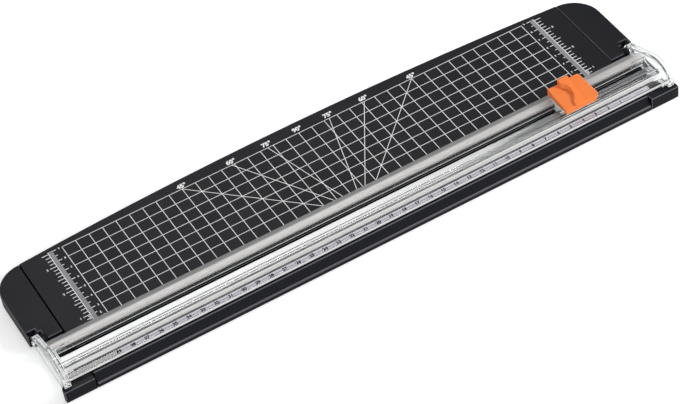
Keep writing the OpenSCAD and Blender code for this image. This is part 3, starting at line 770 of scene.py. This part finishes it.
@dataclass
class Bed:
    """The bed that stands on the desk, with its print.

    The grid's numbers are whole centimetres. The names of the angles stand above the grid, a little lower
    the further they are from the middle.
    """

    layout: Layout
    edge_radius: float = 0.5 * MM
    line_width: float = 0.45 * MM
    grid_half: int = 18
    grid_top: int = 9
    first_row: int = 2
    grid_foot: float = 1.6 * CM
    over_print: float = 0.01 * MM
    angle_height: float = 3.5 * MM
    angle_weight: float = 0.07
    angle_shift: float = 0.8 * MM
    angle_rise: float = 4.1 * MM
    angle_droop: float = 0.013
    bar_over: float = 0.7 * MM
    bar_line: float = 0.5 * MM
    tick_width: float = 0.55 * MM
    ruler_weight: float = 0.03
    unit_y: float = 2.32 * CM

    def build(self) -> None:
        """Builds and dresses every piece of the bed."""
        for node in ("bed_tray", "left_end_moulding", "right_end_moulding"):
            self.mould(node)
        dress("cutting_strip", STRIP_RUBBER)
        dress("rubber_feet", FOOT_RUBBER)
        dress("end_screws", SCREW_STEEL)
        dress("left_pivot_pin", PIN_STEEL)
        dress("right_pivot_pin", PIN_STEEL)
        self.print_grid()
        self.print_angles()
        self.print_rulers()

    def mould(self, node: str) -> None:
        """Dresses a moulding of the bed, with a painted highlight on its rounded edges and painted shade on
        the tray's edges at the seams and on the end mouldings' edges that face right.

        Args:
            node: the CAD node.
        """
        piece = softened(node, BED_PLASTIC, "bed", self.edge_radius, edge=EDGE_HIGHLIGHT_PLASTIC)
        piece.data.materials.append(SEAM_SHADE_PLASTIC.material())
        for face in piece.data.polygons:
            across = abs(face.normal.x) if node == "bed_tray" else face.normal.x
            # painted shade: the tray's side-facing edges and the end mouldings' right-facing edges are
            # darkened
            if face.material_index and across > LEANING:
                face.material_index = 2

    def print_grid(self) -> None:
        """Prints the centimetre squares."""
        ink = Print(self.layout, 0.0)
        side = self.grid_half * CM + self.line_width / 2
        for column in range(-self.grid_half, self.grid_half + 1):
            ink.line((column * CM, self.grid_foot), (column * CM, self.grid_top * CM), self.line_width)
        for row in range(self.first_row, self.grid_top + 1):
            ink.line((-side, row * CM), (side, row * CM), self.line_width)
        ink.dry("printed_squares", WHITE_INK, "bed")

    def print_angles(self) -> None:
        """Prints the lines at 45, 60 and 75 degrees and the names of the angles."""
        ink = Print(self.layout, self.over_print)
        top = self.grid_top * CM
        for degrees in (45, 60, 75, 90):
            slope = math.tan(math.radians(degrees))
            for side in (-1, 1) if degrees < 90 else (1,):
                x_top = side * top / slope
                if degrees < 90:
                    ink.line((side * self.grid_foot / slope, self.grid_foot), (x_top, top), self.line_width)
                rise = self.angle_rise - self.angle_droop * abs(x_top)
                ink.words(f"{degrees}\N{DEGREE SIGN}", (x_top + self.angle_shift, top + rise),
                          self.angle_height, self.angle_weight)
        ink.dry("printed_angles", WHITE_INK, "bed")

    def print_rulers(self) -> None:
        """Prints the two side rulers: grey bars with centimetres inwards and inches outwards."""
        bars = Print(self.layout, 0.0)
        ink = Print(self.layout, self.over_print)
        top = self.grid_top * CM + self.bar_over
        inner, outer = CENTIMETRES.bar, INCHES.bar
        for side in (-1, 1):
            middle = side * (inner + outer) / 2
            bars.line((middle, self.grid_foot), (middle, top), outer - inner)
            ink.line((side * outer, self.grid_foot), (side * outer, top), self.bar_line)
            for scale in (CENTIMETRES, INCHES):
                self.print_scale(ink, scale, side)
            for scale in (CENTIMETRES, INCHES):
                place, height = scale.unit_size
                ink.words(scale.unit, (side * place, self.unit_y), height, self.ruler_weight, -90 * side)
        bars.dry("printed_ruler_bars", GREY_INK, "bed")
        ink.dry("printed_rulers", WHITE_INK, "bed")

    def print_scale(self, ink: Print, scale: Scale, side: int) -> None:
        """Prints the ticks and figures of one scale.

        Args:
            ink: the print that takes them.
            scale: the scale.
            side: 1 for the ruler at the right, -1 for the one at the left.
        """
        for tick in scale.ticks:
            y = tick * scale.step
            short, long = scale.reaches
            reach = short if tick % scale.long_every else long
            ink.line((side * scale.bar, y), (side * (scale.bar + scale.outwards * reach), y), self.tick_width)
            if not tick % scale.number_every:
                place, height = scale.figures
                ink.words(str(tick // scale.number_every), (side * place, y), height, self.ruler_weight)


class Skin(IntEnum):
    """Skins of the clear rail, by the place of their material."""

    CLEAR = 0
    # painted highlight: white frosting where light shows the clear plastic bright
    PAINTED_HIGHLIGHT = 1
    ETCHED = 2
    HAZY = 3
    # painted sheen on the front platform's top
    PAINTED_SHEEN = 4


@dataclass
class Rail:
    """The clear guide rail with its caps, ruler film and grips.

    Walls, slot and slope are given by how far they are from the cutting line, and the underside, the
    platform and the slot's foot by how far they are above the printed face.
    """

    layout: Layout
    rail_radius: float = 0.15 * MM
    cap_radius: float = 0.4 * MM
    front_walls: tuple[float, float] = (11.7 * MM, 18.3 * MM)
    underside: float = 5.4 * MM
    platform: float = 7 * MM
    slot_back: float = 4.5 * MM
    slot_foot: float = 3.3 * MM
    slope_back: float = 11 * MM
    first_number_x: float = -18.94 * CM
    number_count: int = 39
    ticks_beyond: tuple[int, int] = (5, 16)
    tick_half: float = 0.4 * MM
    tick_width: float = 0.45 * MM
    row_shift: float = 0.25 * MM
    film_margin: float = 0.5 * MM
    number_height: float = 2.3 * MM
    number_weight: float = 0.09

    def build(self) -> None:
        """Builds and dresses every piece of the rail."""
        self.frost(softened("guide_rail", CLEAR_PLASTIC, "rail", self.rail_radius, 1, flat=True))
        # The caps' rounded edges are frosted white, a painted highlight on their rims
        softened("left_rail_cap", CLEAR_PLASTIC, "rail", self.cap_radius, edge=HIGHLIGHT_FROSTED_PLASTIC)
        softened("right_rail_cap", CLEAR_PLASTIC, "rail", self.cap_radius, edge=HIGHLIGHT_FROSTED_PLASTIC)
        dress("scale_strip", SCALE_FILM)
        dress("front_grip_strip", GRIP_RUBBER)
        dress("rear_grip_strip", GRIP_RUBBER)
        dress("cap_screws", SCREW_STEEL)
        self.print_ruler()

    def frost(self, rail: bpy.types.Object) -> None:
        """Gives the rail's walls, slope, platforms and the foot of its slot their own skins: a painted
        highlight of white frosting on the front walls and the slot's foot, and a painted sheen on the front
        platform's top.

        Args:
            rail: the dressed rail.
        """
        bm = bmesh.new()
        bm.from_mesh(rail.data)
        foot_z = self.layout.print_z + self.slot_foot
        bmesh.ops.bisect_plane(bm, geom=[*bm.verts, *bm.edges, *bm.faces],
                               plane_co=(0, 0, foot_z), plane_no=(0, 0, 1))
        for face in bm.faces:
            face.material_index = self.skin(face, foot_z)
        bm.to_mesh(rail.data)
        bm.free()
        for finish in (HIGHLIGHT_FROSTED_PLASTIC, ETCHED_PLASTIC, HAZY_PLASTIC, PAINTED_SHEEN_PLASTIC):
            rail.data.materials.append(finish.material())

    def skin(self, face: bmesh.types.BMFace, foot_z: float) -> Skin:
        """Chooses a face's skin.

        Args:
            face: a face of the rail.
            foot_z: height below which the rear wall of the slot gets the frosted painted highlight.

        Returns:
            The skin.
        """
        place = face.calc_center_median()
        normal = face.normal
        front = self.layout.cut_y - place.y
        height = place.z - self.layout.print_z
        near = self.rail_radius
        # painted sheen on the front platform's top
        if normal.z > UPRIGHT and height > self.platform - near:
            return Skin.PAINTED_SHEEN if front > 0 else Skin.HAZY
        # painted highlight: the front walls and the slot's foot are frosted white where light shows them
        # bright
        if normal.y < -UPRIGHT:
            is_foot = abs(front + self.slot_back) < near and place.z < foot_z
            is_wall = min(abs(front - wall) for wall in self.front_walls) < near
            return Skin.PAINTED_HIGHLIGHT if is_foot or is_wall else Skin.CLEAR
        if front < 0 and normal.z < -UPRIGHT and abs(height - self.underside) < near:
            return Skin.ETCHED
        is_slope = normal.y > LEANING and normal.z > LEANING and front < -self.slope_back
        return Skin.HAZY if is_slope else Skin.CLEAR

    def print_ruler(self) -> None:
        """Prints millimetres and the numbers of the centimetres on the film."""
        film_low, film_high = self.layout.film_low, self.layout.film_high
        row = (film_high.y + film_low.y) / 2 - self.layout.cut_y - self.row_shift
        ink = Print(self.layout, film_high.z - self.layout.print_z)
        low, high = film_low.x + self.film_margin, film_high.x - self.film_margin
        before, after = self.ticks_beyond
        for millimetre in range(-before, 10 * self.number_count + after):
            x = self.first_number_x + millimetre * MM
            if low < x < high and 2 <= millimetre % 10 <= 8:
                ink.line((x, row - self.tick_half), (x, row + self.tick_half), self.tick_width)
        for number in range(self.number_count):
            centre = (self.first_number_x + number * CM, row)
            ink.words(str(self.number_count - number), centre, self.number_height, self.number_weight)
        ink.dry("rail_ruler_figures", BLACK_INK, "rail")


@dataclass
class Slider:
    """The carriage and the sprung press head on it."""

    carriage_radius: float = 0.12 * MM
    cap_radius: float = 0.45 * MM
    press_travel: float = 1.5 * MM

    def build(self) -> None:
        """Builds and dresses the carriage, the springs, the thumb cap and the blade."""
        softened("carriage", MILKY_PLASTIC, "carriage", self.carriage_radius)
        self.wind_spring("left_press_spring")
        self.wind_spring("right_press_spring")
        softened("press_cap", ORANGE_PLASTIC, "press_head", self.cap_radius, 3)
        dress("blade_holder", MILKY_PLASTIC)
        dress("blade", BLADE_STEEL)
        dress("blade_pin", PIN_STEEL)

    def wind_spring(self, node: str) -> None:
        """Makes a smooth-shaded copy of a press spring, with a mesh of its own, that stands for it on the
        carriage.

        Args:
            node: the CAD spring that it stands for.
        """
        bm = bmesh.new()
        bm.from_mesh(bpy.data.objects[node].data)
        bmesh.ops.remove_doubles(bm, verts=bm.verts, dist=CAD_WELD)
        piece = settle(bm, f"{node}_coil", SPRING_STEEL, "carriage")
        piece.data.shade_smooth()
        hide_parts(node)
        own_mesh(piece)


@dataclass(frozen=True)
class Softbox:
    """A rectangular lamp, with its place, the point that it faces, its size and its power in watts."""

    name: str
    place: tuple[float, float, float]
    target: tuple[float, float, float]
    size: tuple[float, float]
    power: float

    def hang(self) -> None:
        """Hangs the lamp in the scene."""
        data = bpy.data.lights.new(self.name, "AREA")
        data.shape = "RECTANGLE"
        data.size, data.size_y = self.size
        data.energy = self.power
        lamp = bpy.data.objects.new(self.name, data)
        place = Vector(self.place)
        turn = (Vector(self.target) - place).to_track_quat("-Z", "Y").to_matrix().to_4x4()
        lamp.matrix_world = Matrix.Translation(place) @ turn
        bpy.context.scene.collection.objects.link(lamp)


@dataclass
class Studio:
    """Camera, lamps, white surroundings and a pale floor.

    The bank is a bright band of the surroundings that the rail's level faces mirror to the camera, and the
    back is what lies behind it. Their places are a direction's parts sideways or backwards over its height.
    """

    frame_width: float = 36.0
    lens: float = 126.42
    shift: tuple[float, float] = (-0.0005, 0.0005)
    eye: Vector = field(default_factory=lambda: Vector((-0.44990, -1.02589, 1.13887)))
    ahead: Vector = field(default_factory=lambda: Vector((0.28003, 0.63853, -0.71684)))
    up: Vector = field(default_factory=lambda: Vector((0.42477, 0.58722, 0.68901)))
    ambient: float = 0.39
    bank_strength: float = 6.8
    bank_back: float = 0.79
    bank_edge: tuple[float, float] = (0.094, 0.101)
    bank_fade: tuple[float, float] = (0.38, 0.58)
    bank_left: tuple[float, float] = (-0.1, 0.1)
    back_light: float = 0.72
    back_floor: float = 0.2
    back_fade: tuple[float, float] = (0.2, 0.66)
    back_start: tuple[float, float] = (0.25, 0.55)
    horizon: float = 0.02
    floor_half: float = 4.0
    floor_tone: float = 0.82
    floor_roughness: float = 0.9
    floor_glow: float = 0.42
    softboxes: tuple[Softbox, ...] = (
        Softbox("front_softbox", (1.75, -0.95, 1.25), (0.05, 0.0, 0.0), (0.7, 0.7), 42),
        Softbox("left_fill", (-1.2, -1.4, 0.5), (-0.1, -0.05, 0.0), (1.0, 0.8), 15),
    )

    def build(self) -> None:
        """Sets up the studio."""
        bpy.context.scene.view_settings.view_transform = "Standard"
        self.set_camera()
        self.set_world()
        self.set_floor()
        for softbox in self.softboxes:
            softbox.hang()

    def set_camera(self) -> None:
        """Stands the camera where the photograph was taken."""
        data = bpy.data.cameras.new("photo_camera")
        data.sensor_width = self.frame_width
        data.lens = self.lens
        data.shift_x, data.shift_y = self.shift
        camera = bpy.data.objects.new("photo_camera", data)
        back = -self.ahead.normalized()
        right = self.up.cross(back).normalized()
        turn = Matrix((right, back.cross(right), back)).transposed().to_4x4()
        camera.matrix_world = Matrix.Translation(self.eye) @ turn
        bpy.context.scene.collection.objects.link(camera)
        bpy.context.scene.camera = camera

    def set_world(self) -> None:
        """Makes the surroundings white to the eye and softer as a light."""
        world = bpy.data.worlds.new("studio")
        bpy.context.scene.world = world
        graph = Graph(world)
        path = graph.node("ShaderNodeLightPath")
        camera = Value(graph, path.outputs["Is Camera Ray"])
        through = Value(graph, path.outputs["Is Transmission Ray"])
        glossy = Value(graph, path.outputs["Is Glossy Ray"])
        direction = graph.node("ShaderNodeTexCoord")
        parts = graph.node("ShaderNodeSeparateXYZ", None, {0: direction.outputs["Generated"]})
        height = graph.maths("MAXIMUM", Value(graph, parts.outputs["Z"]), self.horizon)
        sideways = Value(graph, parts.outputs["X"]) / height
        backwards = Value(graph, parts.outputs["Y"]) / height
        across = graph.maths("ABSOLUTE", backwards - self.bank_back)
        bank = graph.fade(sideways, *self.bank_fade) * graph.fade(across, *self.bank_edge)
        bank = bank * (1 - graph.fade(sideways, *self.bank_left))
        behind = 1 - graph.fade(backwards, *self.back_start)
        left_share = graph.fade(sideways, *self.back_fade)
        back = self.back_light * (self.back_floor + left_share * (1 - self.back_floor))
        level = 1 - behind * (1 - back)
        strength = graph.maths("MAXIMUM", camera, graph.maths("MAXIMUM", glossy, through) * level)
        lit = 1 - graph.maths("MAXIMUM", camera, through)
        strength = graph.maths("MAXIMUM", strength, self.ambient) + bank * self.bank_strength * lit
        ground = graph.node("ShaderNodeBackground", None, {"Color": (1, 1, 1, 1), "Strength": strength})
        graph.node("ShaderNodeOutputWorld", None, {"Surface": ground.outputs[0]})

    def set_floor(self) -> None:
        """Lays a pale floor that keeps the object's shadow."""
        bm = bmesh.new()
        bmesh.ops.create_grid(bm, x_segments=8, y_segments=8, size=self.floor_half)
        mesh = bpy.data.meshes.new("floor")
        bm.to_mesh(mesh)
        bm.free()
        floor = bpy.data.objects.new("floor", mesh)
        material = bpy.data.materials.new("floor_white")
        graph = Graph(material)
        path = graph.node("ShaderNodeLightPath")
        seen = graph.maths("MAXIMUM", Value(graph, path.outputs["Is Camera Ray"]),
                           Value(graph, path.outputs["Is Transmission Ray"]))
        shader = graph.node("ShaderNodeBsdfPrincipled", None, {
            "Base Color": (self.floor_tone, self.floor_tone, self.floor_tone, 1),
            "Roughness": self.floor_roughness,
            "Specular IOR Level": 0.0,
            "Emission Color": (1, 1, 1, 1),
            "Emission Strength": seen * self.floor_glow,
        })
        graph.node("ShaderNodeOutputMaterial", None, {"Surface": shader.outputs[0]})
        mesh.materials.append(material)
        bpy.context.scene.collection.objects.link(floor)


def main() -> None:
    """Builds the dressed part and its studio, from places measured on the imported nodes."""
    logging.basicConfig(level=logging.INFO, format="%(name)s: %(message)s")
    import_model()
    layout = Layout.of_frame()
    for assembly in (Studio(), Bed(layout), Rail(layout), Slider()):
        LOG.info("building %s", type(assembly).__name__)
        assembly.build()


if __name__ == "__main__":
    main()
